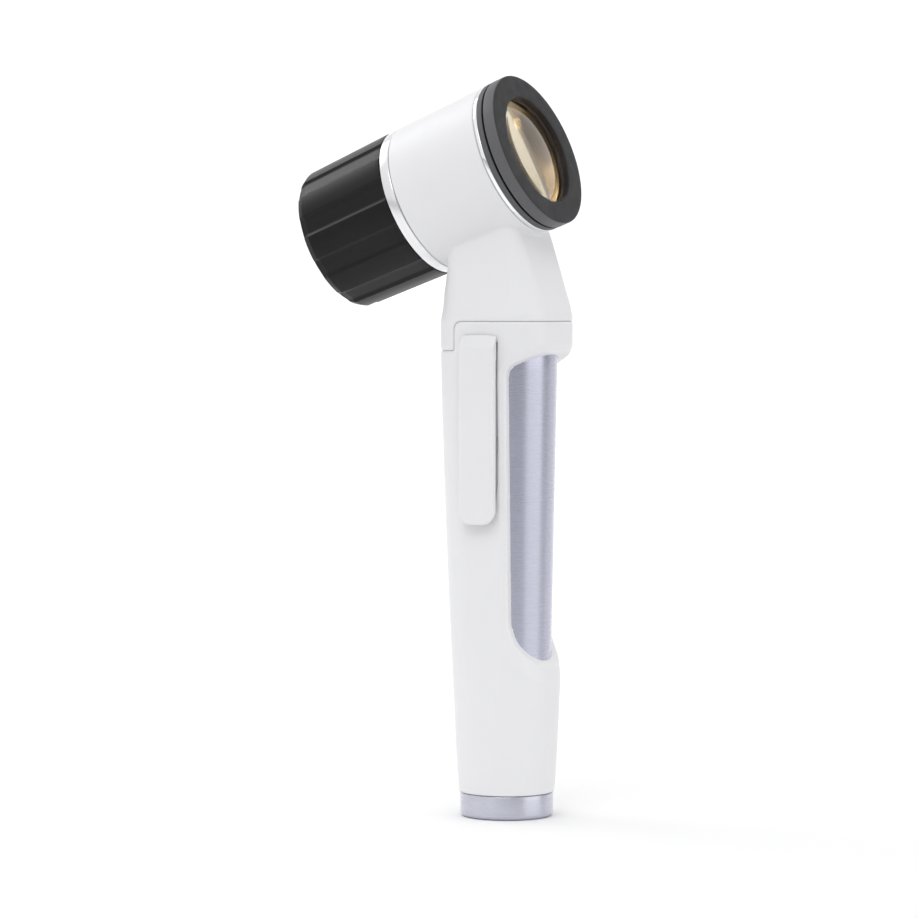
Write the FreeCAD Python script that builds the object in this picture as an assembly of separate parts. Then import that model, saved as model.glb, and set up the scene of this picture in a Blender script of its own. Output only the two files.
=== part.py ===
import FreeCAD, Part
import math
import os

# Pocket dermatoscope: a battery handle with a tilted, illuminated magnifier head.
# All lengths in millimetres.  +Z runs up the handle axis, the origin is the centre
# of the flat underside of the end cap, +X is the eyepiece side, -Y carries the clip.

V = FreeCAD.Vector
os.makedirs("parts", exist_ok=True)

# ---------------------------------------------------------------- handle
CAP_R = 11.25             # end cap radius
CAP_H = 5.8               # end cap height
SHELL_Z0 = 5.9            # lower end of the white handle shell
SEAM_Z = 119.4            # parting line between handle and head
TUBE_Z0 = 5.9             # lower end of the aluminium tube
TUBE_Z1 = 111.5           # upper end of the aluminium tube
TUBE_R50 = 10.95          # tube radius at Z = 50
TUBE_TAPER = 0.0202       # radius gain per millimetre of height
TUBE_WALL = 1.2
TUBE_MOUTH_R = 8.9        # cylindrical mouth that takes the end cap thread
TUBE_MOUTH_Z = 13.0
SOCKET_R = 11.0           # socket in the top of the handle
SOCKET_Z = 112.3          # floor of that socket
SPIGOT_R = 10.93          # head spigot that plugs into the socket
SPIGOT_Z = 112.6
TAB_X = -7.7              # vertical parting line of the head's front tab
TAB_Z = 112.35
GAP = 0.12                # width of the plug joint's parting line

AA_R = 7.1                # battery cell
AA_H = 49.5
AA_NUB_R = 2.75
AA_NUB_H = 1.0
CELL_Z0 = 7.6             # underside of the lower cell

# sections of the handle shell: height, half width X, half width Y, corner radius
SHELL_SECTIONS = [
    (5.9, 11.42, 11.42, 11.15),
    (17.0, 11.98, 11.58, 10.85),
    (34.7, 12.62, 11.84, 10.35),
    (52.0, 13.30, 12.06, 9.90),
    (69.5, 13.72, 12.28, 9.30),
    (87.0, 14.12, 12.52, 8.80),
    (104.0, 14.33, 12.78, 8.30),
    (119.4, 14.30, 12.98, 8.00),
]

# window that shows the aluminium tube (X, Z), open towards +X
WINDOW = [(20.0, 114.9), (14.2, 112.3), (12.0, 111.3), (11.3, 110.95), (9.1, 109.9),
          (7.25, 108.85), (6.25, 107.6), (5.95, 106.2),
          (5.95, 48.4), (6.15, 46.4), (6.75, 43.9), (7.55, 42.0), (8.55, 40.5),
          (10.0, 38.7), (10.9, 37.8), (13.0, 35.5), (20.0, 28.0)]

# ---------------------------------------------------------------- pocket clip
CLIP_X0 = -5.15
CLIP_X1 = 4.1
CLIP_Z0 = 70.9            # lower end
CLIP_Z1 = 117.1           # top of the ramp
CLIP_RAMP_Z = 112.6       # where the ramp reaches full height
CLIP_Y_IN = -14.0         # inner face of the blade
CLIP_Y_OUT = -15.6        # outer face of the blade
CLIP_CORNER_R = 3.4
CLIP_PIVOT_Y = -14.1
CLIP_PIVOT_Z = 112.2
CLIP_PIN_R = 0.45
LUG_R = 0.95

# ---------------------------------------------------------------- head
HEAD_X = -1.0             # a point on the head axis
HEAD_Z = 156.86
HEAD_TILT = 21.34         # degrees above the horizontal, rising towards +X
S_BODY0 = -20.9           # stations along the head axis
S_BODY1 = 4.15
S_TRIM0, S_TRIM1 = 4.22, 5.2
S_BASE0, S_BASE1 = 5.2, 6.62
S_FOCUS0, S_FOCUS1 = 7.08, 10.06
S_RING0 = -23.45
S_BARREL0, S_BARREL1 = -49.0, -23.57
R_BODY_REAR = 18.6        # at the aluminium ring
R_BODY_EYE = 18.98        # at the eyepiece
R_EYE = 19.05
R_APERTURE = 13.49
R_RING = 18.5
R_BARREL_REAR = 18.54
R_BARREL_FRONT = 17.85
R_NOSE = 15.7             # threaded nose that takes the contact barrel
BARREL_LANDS = 10
BARREL_LAND_DEG = 18.0

# neck sections: height, front X, rear X, half width Y, corner radius
NECK_SECTIONS = [
    (119.4, -14.30, 14.30, 12.98, 8.00),
    (121.0, -14.00, 14.20, 12.80, 7.80),
    (123.0, -13.66, 13.72, 12.45, 7.40),
    (125.5, -13.34, 12.86, 11.98, 6.60),
    (128.5, -12.80, 11.80, 11.42, 5.60),
    (132.0, -12.25, 10.58, 10.90, 4.60),
    (137.0, -11.60, 8.80, 10.50, 3.60),
    (146.0, -11.20, 5.60, 10.30, 3.20),
]

parts = {}


def add(name, shape):
    if shape.ShapeType == "Compound" and len(shape.Solids) == 1:
        shape = shape.Solids[0]
    parts[name] = shape
    return shape


def tube_r(z):
    return TUBE_R50 + (z - 50.0) * TUBE_TAPER


def polygon_face(pts):
    vs = [V(*p) for p in pts]
    return Part.Face(Part.makePolygon(vs + [vs[0]]))


def revolve(profile, z_axis=True):
    """Solid of revolution about Z from (radius, height) points."""
    face = polygon_face([(r, 0, z) for r, z in profile])
    return face.revolve(V(0, 0, 0), V(0, 0, 1), 360)


def cyl(r, z0, z1, x=0.0, y=0.0):
    return Part.makeCylinder(r, z1 - z0, V(x, y, z0))


def pipe(r_out, r_in, z0, z1, x=0.0, y=0.0):
    return cyl(r_out, z0, z1, x, y).cut(cyl(r_in, z0 - 1, z1 + 1, x, y))


def box(x0, x1, y0, y1, z0, z1):
    return Part.makeBox(x1 - x0, y1 - y0, z1 - z0, V(x0, y0, z0))


def torus(major, minor, z):
    return Part.makeTorus(major, minor, V(0, 0, z), V(0, 0, 1))


def rrect(z, x0, x1, b, r):
    """Closed wire: rounded rectangle between x0 and x1, half width b, corner radius r."""
    y0, y1 = -b, b
    r = min(r, (x1 - x0) / 2 - 0.1, b - 0.1)
    c = r * (1 - math.sqrt(0.5))
    e = [
        Part.LineSegment(V(x0 + r, y0, z), V(x1 - r, y0, z)),
        Part.Arc(V(x1 - r, y0, z), V(x1 - c, y0 + c, z), V(x1, y0 + r, z)),
        Part.LineSegment(V(x1, y0 + r, z), V(x1, y1 - r, z)),
        Part.Arc(V(x1, y1 - r, z), V(x1 - c, y1 - c, z), V(x1 - r, y1, z)),
        Part.LineSegment(V(x1 - r, y1, z), V(x0 + r, y1, z)),
        Part.Arc(V(x0 + r, y1, z), V(x0 + c, y1 - c, z), V(x0, y1 - r, z)),
        Part.LineSegment(V(x0, y1 - r, z), V(x0, y0 + r, z)),
        Part.Arc(V(x0, y0 + r, z), V(x0 + c, y0 + c, z), V(x0 + r, y0, z)),
    ]
    return Part.Wire([s.toShape() for s in e])


def refine(sections, per):
    """Finer list of sections along a smooth curve through the given ones."""
    out = []
    n = len(sections)
    for i in range(n - 1):
        p0 = sections[max(i - 1, 0)]
        p1, p2 = sections[i], sections[i + 1]
        p3 = sections[min(i + 2, n - 1)]
        h = p2[0] - p1[0]
        for j in range(per):
            u = j / per
            row = [p1[0] + h * u]
            for c in range(1, len(p1)):
                m1 = (p2[c] - p0[c]) / (p2[0] - p0[0]) * h
                m2 = (p3[c] - p1[c]) / (p3[0] - p1[0]) * h
                row.append((2 * u ** 3 - 3 * u ** 2 + 1) * p1[c] + (u ** 3 - 2 * u ** 2 + u) * m1
                           + (-2 * u ** 3 + 3 * u ** 2) * p2[c] + (u ** 3 - u ** 2) * m2)
            out.append(tuple(row))
    out.append(sections[-1])
    return out


def to_head(shape):
    """Place a shape built about local Z (distance along the head axis) in the object's frame.
    Local X becomes the head's up direction and local Y points to -Y."""
    t = math.radians(HEAD_TILT)
    n = V(math.cos(t), 0, math.sin(t))
    k = V(-math.sin(t), 0, math.cos(t))
    m = FreeCAD.Matrix(k.x, 0, n.x, HEAD_X,
                       0, -1, 0, 0,
                       k.z, 0, n.z, HEAD_Z,
                       0, 0, 0, 1)
    s = shape.copy()
    s.Placement = FreeCAD.Placement(m).multiply(s.Placement)
    return s


def helix_spring(wire_r, r0, r1, z0, z1, turns, steps=14):
    """Open helical spring as one swept solid; r0 at the bottom, r1 at the top."""
    pts = []
    n = int(turns * steps)
    for i in range(n + 1):
        f = i / n
        a = 2 * math.pi * turns * f
        r = r0 + (r1 - r0) * f
        pts.append(V(r * math.cos(a), r * math.sin(a), z0 + (z1 - z0) * f))
    curve = Part.BSplineCurve()
    curve.interpolate(pts)
    path = Part.Wire([curve.toShape()])
    tan = curve.tangent(curve.FirstParameter)[0]
    prof = Part.Wire([Part.Circle(pts[0], tan, wire_r).toShape()])
    pipe_shape = path.makePipeShell([prof], True, True)
    return pipe_shape


# ================================================================ handle
SHELL_FINE = refine(SHELL_SECTIONS, 3)
NECK_FINE = refine(NECK_SECTIONS, 2)
shell = Part.makeLoft([rrect(z, -a, a, b, r) for z, a, b, r in SHELL_FINE], True, True)

window_face = polygon_face([(x, -20, z) for x, z in WINDOW])
window_cut = window_face.extrude(V(0, 40, 0))
shell = shell.cut(window_cut)

cavity = revolve([(0, SHELL_Z0 - 1), (tube_r(SHELL_Z0 - 1), SHELL_Z0 - 1),
                  (tube_r(TUBE_Z1), TUBE_Z1), (0, TUBE_Z1)])
shell = shell.cut(cavity)
shell = shell.cut(cyl(SOCKET_R, SOCKET_Z, SEAM_Z + 5))
shell = shell.cut(cyl(6.2, TUBE_Z1 - 1, SOCKET_Z + 1))
shell = shell.cut(box(-30, TAB_X, -30, 30, TAB_Z - GAP, SEAM_Z + 5))
# hinge lug for the clip
lug = Part.makeCylinder(LUG_R, 5.2, V(-2.6, CLIP_PIVOT_Y, CLIP_PIVOT_Z), V(1, 0, 0))
lug = lug.fuse(box(-2.6, 2.6, CLIP_PIVOT_Y, -12.4, CLIP_PIVOT_Z - LUG_R, CLIP_PIVOT_Z + LUG_R))
lug = lug.removeSplitter()
lug = lug.cut(Part.makeCylinder(CLIP_PIN_R, 20, V(-10, CLIP_PIVOT_Y, CLIP_PIVOT_Z), V(1, 0, 0)))
lug = lug.cut(Part.makeCylinder(1.0, 2.2, V(-1.1, CLIP_PIVOT_Y, CLIP_PIVOT_Z), V(1, 0, 0)))
shell = shell.fuse(lug)
# switch pocket and its groove under the clip blade
SW_Z = 92.0
shell = shell.cut(Part.makeCylinder(3.2, 0.45, V(-0.6, -12.62, SW_Z), V(0, 1, 0)).cut(box(-9, 9, -12.3, 0, 80, 100)))
shell = shell.cut(box(-2.1, 0.9, -14, -12.38, SW_Z, 111.1))
add("handle_shell", shell)

tube_profile = [(TUBE_MOUTH_R, TUBE_Z0), (tube_r(TUBE_Z0) - 0.3, TUBE_Z0), (tube_r(TUBE_Z0 + 0.3), TUBE_Z0 + 0.3),
                (tube_r(TUBE_Z1 - 0.2), TUBE_Z1 - 0.2), (tube_r(TUBE_Z1) - 0.2, TUBE_Z1),
                (tube_r(TUBE_Z1) - TUBE_WALL, TUBE_Z1), (tube_r(TUBE_MOUTH_Z + 1) - TUBE_WALL, TUBE_MOUTH_Z + 1),
                (TUBE_MOUTH_R, TUBE_MOUTH_Z)]
add("handle_tube", revolve(tube_profile))


def bore_r(z):
    return tube_r(z) - TUBE_WALL


SLEEVE_R_IN = 7.35
SLEEVE_R_OUT = 8.45
SL0, SL1 = 14.6, 108.4
sleeve_profile = [(SLEEVE_R_IN, SL0), (bore_r(SL0), SL0), (bore_r(SL0 + 5), SL0 + 5), (SLEEVE_R_OUT, SL0 + 5.6),
                  (SLEEVE_R_OUT, 58.4), (bore_r(59.0), 59.0), (bore_r(63.0), 63.0), (SLEEVE_R_OUT, 63.6),
                  (SLEEVE_R_OUT, SL1 - 5.6), (bore_r(SL1 - 5), SL1 - 5), (bore_r(SL1), SL1), (SLEEVE_R_IN, SL1)]
add("battery_sleeve", revolve(sleeve_profile))


def cell(z):
    prof = [(0, z), (3.4, z), (3.6, z + 0.25), (AA_R - 0.8, z + 0.25), (AA_R, z + 1.0), (AA_R, z + AA_H - 1.2),
            (AA_R - 0.8, z + AA_H - 0.4), (AA_R - 1.6, z + AA_H - 0.3), (AA_NUB_R + 0.1, z + AA_H - 0.3),
            (AA_NUB_R, z + AA_H), (AA_NUB_R, z + AA_H + AA_NUB_H - 0.3), (AA_NUB_R - 0.3, z + AA_H + AA_NUB_H),
            (0, z + AA_H + AA_NUB_H)]
    return revolve(prof)


CELL_PITCH = AA_H + AA_NUB_H
CELL_TOP = CELL_Z0 + 2 * CELL_PITCH            # 108.6
add("battery_lower", cell(CELL_Z0))
add("battery_upper", cell(CELL_Z0 + CELL_PITCH))

# contact plate on the positive pole, with its carrier and the pin that feeds the head
add("top_contact", cyl(5.2, CELL_TOP, CELL_TOP + 0.35).fuse(pipe(1.5, 0.9, CELL_TOP + 0.35, CELL_TOP + 1.2)).removeSplitter())
carrier = revolve([(0, CELL_TOP + 0.35), (bore_r(CELL_TOP + 0.35), CELL_TOP + 0.35), (bore_r(TUBE_Z1), TUBE_Z1),
                   (6.1, TUBE_Z1), (6.1, SOCKET_Z), (0, SOCKET_Z)])
carrier = carrier.cut(cyl(1.5, CELL_TOP, SOCKET_Z + 1))
carrier = carrier.cut(pipe(4.6, 3.9, SOCKET_Z - 0.6, SOCKET_Z + 1))
add("contact_carrier", carrier)
pin = cyl(0.9, CELL_TOP + 0.35, 115.0).fuse(cyl(1.5, CELL_TOP + 1.2, SOCKET_Z + 0.2))
pin = pin.fuse(Part.makeSphere(0.9, V(0, 0, 115.0)))
add("handle_contact_pin", pin.removeSplitter())
add("negative_contact_ring", pipe(4.6, 3.9, SOCKET_Z - 0.6, SOCKET_Z + 0.25))

# ---------------------------------------------------------------- switch under the clip
dome_s = Part.makeSphere(9.0, V(-0.6, -12.3 + 8.62, SW_Z), V(0, 0, 1))
dome = dome_s.common(Part.makeCylinder(2.3, 6, V(-0.6, -12.3, SW_Z), V(0, -1, 0)))
add("switch_dome", dome)
add("switch_flex", box(-1.9, 0.7, -12.46, -12.38, SW_Z + 3.3, 110.9))

# ================================================================ end cap
cap = revolve([(0, 0), (CAP_R - 1.3, 0), (CAP_R - 0.75, 0.12), (CAP_R - 0.35, 0.38), (CAP_R - 0.1, 0.75), (CAP_R, 1.2),
               (CAP_R, CAP_H - 0.25), (CAP_R - 0.25, CAP_H),
               (8.80, CAP_H), (8.80, 6.05), (7.95, 6.15), (7.95, 7.15), (8.80, 7.25), (8.80, 11.6), (8.5, 11.9),
               (7.5, 11.9), (7.5, 2.3), (0, 2.3)])
add("end_cap", cap)
add("cap_seal", torus(8.38, 0.42, 6.65))
add("cap_contact", cyl(6.9, 2.3, 2.7))
add("cap_spring", helix_spring(0.38, 5.6, 3.0, 3.1, CELL_Z0 - 0.42, 3.25))

# ================================================================ pocket clip
blade_pts = [(CLIP_Y_IN, CLIP_Z0), (CLIP_Y_OUT + 0.35, CLIP_Z0), (CLIP_Y_OUT, CLIP_Z0 + 0.5), (CLIP_Y_OUT, CLIP_RAMP_Z - 0.4),
             (CLIP_Y_OUT + 0.12, CLIP_RAMP_Z + 0.3), (-13.5, CLIP_Z1), (-13.28, CLIP_Z1), (-13.28, CLIP_Z1 - 6.6), (CLIP_Y_IN, CLIP_Z1 - 8.0)]
blade = polygon_face([(CLIP_X0, y, z) for y, z in blade_pts]).extrude(V(CLIP_X1 - CLIP_X0, 0, 0))
# rounded lower corners
outline = Part.Wire([
    Part.LineSegment(V(CLIP_X0, -30, CLIP_Z0 + CLIP_CORNER_R), V(CLIP_X0, -30, 130)).toShape(),
    Part.LineSegment(V(CLIP_X0, -30, 130), V(CLIP_X1, -30, 130)).toShape(),
    Part.LineSegment(V(CLIP_X1, -30, 130), V(CLIP_X1, -30, CLIP_Z0 + CLIP_CORNER_R)).toShape(),
    Part.Arc(V(CLIP_X1, -30, CLIP_Z0 + CLIP_CORNER_R),
             V(CLIP_X1 - CLIP_CORNER_R * 0.2929, -30, CLIP_Z0 + CLIP_CORNER_R * 0.2929),
             V(CLIP_X1 - CLIP_CORNER_R, -30, CLIP_Z0)).toShape(),
    Part.LineSegment(V(CLIP_X1 - CLIP_CORNER_R, -30, CLIP_Z0), V(CLIP_X0 + CLIP_CORNER_R, -30, CLIP_Z0)).toShape(),
    Part.Arc(V(CLIP_X0 + CLIP_CORNER_R, -30, CLIP_Z0),
             V(CLIP_X0 + CLIP_CORNER_R * 0.2929, -30, CLIP_Z0 + CLIP_CORNER_R * 0.2929),
             V(CLIP_X0, -30, CLIP_Z0 + CLIP_CORNER_R)).toShape(),
])
blade = blade.common(Part.Face(outline).extrude(V(0, 30, 0)))
# room for the hinge lug
room = Part.makeCylinder(LUG_R + 0.12, 5.6, V(-2.8, CLIP_PIVOT_Y, CLIP_PIVOT_Z), V(1, 0, 0))
room = room.fuse(box(-2.8, 2.8, CLIP_PIVOT_Y, -12.0, CLIP_PIVOT_Z - LUG_R - 0.25, CLIP_PIVOT_Z + LUG_R + 0.25))
blade = blade.cut(room)
blade = blade.cut(Part.makeCylinder(CLIP_PIN_R + 0.05, 7.6, V(-3.8, CLIP_PIVOT_Y, CLIP_PIVOT_Z), V(1, 0, 0)))
# boss that works the switch and the nub that grips a pocket edge
blade = blade.fuse(Part.makeCone(1.5, 1.1, 0.9, V(-0.6, CLIP_Y_IN, SW_Z), V(0, 1, 0)))
nub = Part.makeCylinder(1.35, 5.0, V(-3.0, CLIP_Y_IN - 0.2, 74.6), V(1, 0, 0)).common(box(-4, 4, CLIP_Y_IN - 0.2, -10, 70, 80))
blade = blade.fuse(nub).removeSplitter()
add("pocket_clip", blade)
add("clip_pin", Part.makeCylinder(CLIP_PIN_R, 7.2, V(-3.6, CLIP_PIVOT_Y, CLIP_PIVOT_Z), V(1, 0, 0)))
spr = helix_spring(0.14, 0.68, 0.68, -0.75, 0.75, 3.0)
spr.Placement = FreeCAD.Placement(V(0, CLIP_PIVOT_Y, CLIP_PIVOT_Z), FreeCAD.Rotation(V(0, 1, 0), 90))
add("clip_spring", spr)

# ================================================================ head body
outer = revolve([(0, S_BODY0), (R_BODY_REAR - 0.25, S_BODY0), (R_BODY_REAR, S_BODY0 + 0.25),
                 (18.68, -12.0), (18.82, -4.0), (R_BODY_EYE, 2.6), (R_BODY_EYE, S_BODY1 - 0.2), (R_BODY_EYE - 0.2, S_BODY1), (0, S_BODY1)])
outer = to_head(outer)
neck = Part.makeLoft([rrect(z, x0, x1, b, r) for z, x0, x1, b, r in NECK_FINE], True, True)
neck = neck.cut(box(TAB_X - GAP, 30, -30, 30, 100, SEAM_Z + GAP))
tab = Part.makeLoft([rrect(z, -a, a, b, r) for z, a, b, r in SHELL_FINE], True, True)
tab = tab.common(box(-30, TAB_X - GAP, -30, 30, TAB_Z, SEAM_Z + 1))
body = neck.fuse(tab)
body = body.fuse(cyl(SPIGOT_R, SPIGOT_Z, SEAM_Z + 2))
body = body.fuse(outer)
print("head outer valid", body.isValid(), len(body.Solids))

# head bores: eyepiece counterbore, main bore, rear bulkhead
bores = revolve([(0, -40), (15.75, -40), (15.75, -16.0), (17.2, -16.0), (17.2, 10), (0, 10)])
body = body.cut(to_head(bores))
# neck cavity for the wiring and driver board
cav = Part.makeLoft([rrect(118.6, -8.4, 8.4, 7.6, 5.0), rrect(124.0, -10.4, 9.6, 9.6, 5.0),
                     rrect(131.0, -9.9, 8.0, 9.0, 3.0), rrect(137.5, -9.0, 5.0, 8.4, 2.5), rrect(144.0, -8.6, 3.0, 8.2, 2.0)], True, True)
body = body.cut(cav)
body = body.cut(cyl(8.9, SPIGOT_Z - 1, 119.0))
# screw holes for the barrel mount ring
for i in range(3):
    a = math.radians(30 + 120 * i)
    h = cyl(0.6, -22, -17.0, 16.95 * math.cos(a), 16.95 * math.sin(a))
    body = body.cut(to_head(h))
add("head_body", body)

# ---------------------------------------------------------------- head plug and contacts
plug = cyl(8.9, 113.2, 119.0)
plug = plug.cut(cyl(1.15, 110, 120)).cut(cyl(2.3, 114.6, 117.4)).cut(cyl(5.4, 112, 113.9))
add("head_plug", plug)
sock = pipe(2.3, 1.15, 114.6, 117.4).cut(cyl(1.05, 110, 120))
sock = sock.fuse(cyl(1.15, 117.0, 120.6)).removeSplitter()
add("head_contact", sock)
add("negative_spring", pipe(4.7, 3.8, SOCKET_Z + 0.3, 113.9))

add("driver_board", box(-7.6, 6.2, 2.2, 3.2, 120.7, 129.4))
chips = Part.makeCompound([
    box(-4.4, -1.0, 1.0, 2.2, 123.0, 126.6),
    box(1.2, 3.2, 1.3, 2.2, 122.0, 123.2),
    box(1.2, 3.2, 1.3, 2.2, 124.2, 125.4),
    cyl(1.5, 0, 1.3).copy() if False else Part.makeCylinder(1.5, 1.3, V(3.0, 0.9, 127.4), V(0, 1, 0)),
])
add("board_parts", chips)

# ---------------------------------------------------------------- lamp ring
# a flat ring board with eight small lamps that look inwards from its edge
LED_COUNT = 8
LED_S = -3.2
add("led_board", to_head(pipe(17.1, 13.3, -5.0, -4.2).cut(box(-18, -16.3, -1.5, 1.5, -6, -3))))
leds = []
for i in range(LED_COUNT):
    a = 360.0 / LED_COUNT * i
    l = Part.makeCylinder(0.9, 1.6, V(12.6, 0, LED_S), V(1, 0, 0)).fuse(Part.makeSphere(0.9, V(12.6, 0, LED_S)))
    l = l.removeSplitter()
    l.rotate(V(0, 0, 0), V(0, 0, 1), a)
    leds.append(to_head(l))
add("leds", Part.makeCompound(leds))
lead = []
for y in (-1.6, 1.6):
    lead.append(Part.makeCylinder(0.35, 8.0, V(-8.2, y, 126.6), V(0, 0, 1)))
add("led_leads", Part.makeCompound(lead))

# ---------------------------------------------------------------- optics inside the head
opt = revolve([(11.9, -20.6), (11.9, -21.6), (11.2, -21.6), (11.2, -17.4), (10.6, -17.4), (10.6, -16.6), (11.4, -13.0),
               (12.9, -6.2), (12.9, -5.0), (17.15, -5.0), (17.15, -6.4), (14.4, -6.4), (13.2, -13.0),
               (13.2, -15.9), (15.7, -15.9), (15.7, -19.5), (11.9, -19.5)])
add("optical_tube", to_head(opt))


def lens(r_edge, s0, s1, rc0, rc1):
    """Biconvex lens: rim between s0 and s1, face radii rc0 (rear) and rc1 (front)."""
    body_l = cyl(r_edge, s0 - 12, s1 + 12)
    h0 = rc0 - math.sqrt(rc0 * rc0 - r_edge * r_edge)
    h1 = rc1 - math.sqrt(rc1 * rc1 - r_edge * r_edge)
    a = Part.makeSphere(rc1, V(0, 0, s1 + h1 - rc1))
    b = Part.makeSphere(rc0, V(0, 0, s0 - h0 + rc0))
    return body_l.common(a).common(b)


add("objective_lens", to_head(lens(11.1, -20.6, -18.4, 60.0, 24.0).common(cyl(11.1, -25, -10))))
add("objective_retainer", to_head(revolve([(10.3, -21.6), (11.15, -21.6), (11.15, -20.6), (11.1, -20.6), (10.3, -20.85)])))

# ---------------------------------------------------------------- rings on the head
ring = revolve([(14.4, S_BODY0), (R_RING - 0.2, S_BODY0), (R_RING, S_BODY0 - 0.2), (R_RING, S_RING0 + 0.2), (R_RING - 0.2, S_RING0),
                (R_NOSE, S_RING0), (R_NOSE, -25.2), (R_NOSE - 0.9, -25.3), (R_NOSE - 0.9, -26.3), (R_NOSE, -26.4),
                (R_NOSE, -31.2), (R_NOSE - 0.3, -31.5), (14.4, -31.5)])
for i in range(3):
    a = math.radians(30 + 120 * i)
    x, y = 16.95 * math.cos(a), 16.95 * math.sin(a)
    ring = ring.cut(cyl(0.62, -30, -20, x, y)).cut(cyl(1.15, -30, S_RING0 + 0.9, x, y))
# keep the nose whole
add("barrel_mount_ring", to_head(ring))
scr = []
for i in range(3):
    a = math.radians(30 + 120 * i)
    x, y = 16.95 * math.cos(a), 16.95 * math.sin(a)
    sc = cyl(0.6, -22.6, -17.0, x, y).fuse(cyl(1.1, S_RING0 + 0.05, S_RING0 + 0.9, x, y))
    sc = sc.cut(box(x - 0.8, x + 0.8, y - 0.12, y + 0.12, S_RING0 - 1, S_RING0 + 0.4))
    scr.append(to_head(sc.removeSplitter()))
add("ring_screws", Part.makeCompound(scr))

add("trim_ring", to_head(revolve([(17.3, S_TRIM0), (18.75, S_TRIM0), (18.98, S_TRIM0 + 0.25), (18.98, S_TRIM1 - 0.2), (18.85, S_TRIM1), (17.3, S_TRIM1)])))
add("eyepiece_base_ring", to_head(revolve([(15.95, -4.1), (17.1, -4.1), (17.1, S_TRIM0), (17.25, S_TRIM0), (17.25, S_BASE0), (18.85, S_BASE0),
                                           (19.0, S_BASE0 + 0.15), (19.0, S_BASE1 - 0.15), (18.85, S_BASE1), (15.95, S_BASE1)])))

# ---------------------------------------------------------------- focusing eyepiece
focus = revolve([(R_APERTURE, 8.6), (R_APERTURE, S_FOCUS1 - 0.3), (R_APERTURE + 0.3, S_FOCUS1), (R_EYE - 0.5, S_FOCUS1), (R_EYE - 0.15, S_FOCUS1 - 0.15),
                 (R_EYE, S_FOCUS1 - 0.5), (R_EYE, S_FOCUS0 + 0.2), (R_EYE - 0.2, S_FOCUS0), (15.86, S_FOCUS0),
                 (15.86, 4.2), (15.15, 4.1), (15.15, 3.1), (15.86, 3.0), (15.86, -1.0), (15.6, -1.3), (14.65, -1.3), (14.65, 8.0), (14.2, 8.6)])
add("focus_ring", to_head(focus))
add("focus_seal", to_head(torus(15.52, 0.37, 3.6)))
LENS_R = 14.1
LENS_S0, LENS_S1 = 3.25, 7.45
LENS_RC0, LENS_RC1 = 150.0, 40.0
add("eyepiece_lens", to_head(lens(LENS_R, LENS_S0, LENS_S1, LENS_RC0, LENS_RC1)))
cellp = revolve([(LENS_R, LENS_S0), (14.6, LENS_S0), (14.6, 8.0), (14.15, 8.5), (13.49, 8.5), (13.3, 8.4), (13.3, 7.95),
                 (LENS_R, LENS_S1 + 0.08), (LENS_R, LENS_S1)])
add("lens_cell", to_head(cellp))
add("lens_retainer", to_head(revolve([(13.2, -0.1), (14.6, -0.1), (14.6, LENS_S0), (LENS_R, LENS_S0), (13.2, 2.9)])))

# ================================================================ contact barrel
barrel = revolve([(15.8, S_BARREL1), (R_BARREL_REAR - 0.2, S_BARREL1), (R_BARREL_REAR, S_BARREL1 - 0.2),
                  (R_BARREL_FRONT, -46.9), (R_BARREL_FRONT - 0.2, -47.7), (R_BARREL_FRONT - 0.65, -48.4), (R_BARREL_FRONT - 1.25, -48.85),
                  (R_BARREL_FRONT - 1.9, S_BARREL0), (15.3, S_BARREL0), (15.3, -45.6), (14.2, -45.6), (14.2, -44.4), (15.0, -43.6),
                  (15.0, -33.6), (15.8, -32.8)])
# grip recesses: shallow channels with sloped walls between the lands
FLUTE_PROFILE = [(9.25, 0.9), (9.0, 0.0), (7.7, -0.48), (5.0, -0.60), (0.0, -0.66),
                 (-5.0, -0.60), (-7.7, -0.48), (-9.0, 0.0), (-9.25, 0.9)]
TAPER = (R_BARREL_REAR - R_BARREL_FRONT) / (S_BARREL1 + 46.9)


def flute_wire(s, centre_deg):
    rad = R_BARREL_REAR + (s - S_BARREL1) * TAPER
    pts = []
    for da, dr in FLUTE_PROFILE:
        a = math.radians(centre_deg + da)
        pts.append(V((rad + dr) * math.cos(a), (rad + dr) * math.sin(a), s))
    return Part.makePolygon(pts + [pts[0]])


tools = []
for i in range(BARREL_LANDS):
    centre_deg = 90.0 - (9.0 + 36.0 * i)
    tools.append(Part.makeLoft([flute_wire(S_BARREL1 + 0.5, centre_deg), flute_wire(S_BARREL0 - 0.5, centre_deg)], True, True))
barrel = barrel.cut(Part.makeCompound(tools))
add("contact_barrel", to_head(barrel))
add("barrel_seal", to_head(torus(15.24, 0.42, -25.8)))
add("contact_glass", to_head(cyl(15.2, -48.0, -45.6)))
add("glass_retainer", to_head(pipe(15.28, 14.4, -48.9, -48.0)))

# ================================================================ write
total = 0
for name, shape in parts.items():
    ok = shape.isValid()
    vol = shape.Volume
    n = len(shape.Solids)
    total += 1
    print("%-24s solids %d valid %s volume %.2f" % (name, n, ok, vol))
    shape.exportStep("parts/%s.step" % name)
print("pieces", total)
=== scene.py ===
import math

import bmesh
import bpy
import numpy as np
from mathutils import Matrix, Vector


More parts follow.
